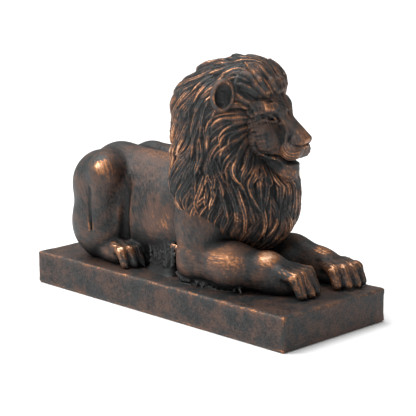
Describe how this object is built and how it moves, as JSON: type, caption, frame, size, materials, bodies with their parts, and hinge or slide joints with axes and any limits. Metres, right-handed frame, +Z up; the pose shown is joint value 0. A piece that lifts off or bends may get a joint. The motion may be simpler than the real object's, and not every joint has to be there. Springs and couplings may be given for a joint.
{
  "type": "lion statue",
  "caption": "Bronze statue of a lion lying with its head raised and turned, forepaws stretched out, on a plain rectangular plinth.",
  "frame": {"origin": "centre of the plinth's underside", "axes": "+X the way the lion lies, from rump to forepaws, +Y the lion's left, +Z up"},
  "size_m": [0.502, 0.21, 0.3662],
  "materials": {
    "patinated_bronze": "cast bronze under a dark brown patina, rubbed to copper on the raised parts, satin"
  },
  "bodies": {
    "root": {"lion_statue": "patinated_bronze"}
  },
  "joints": []
}
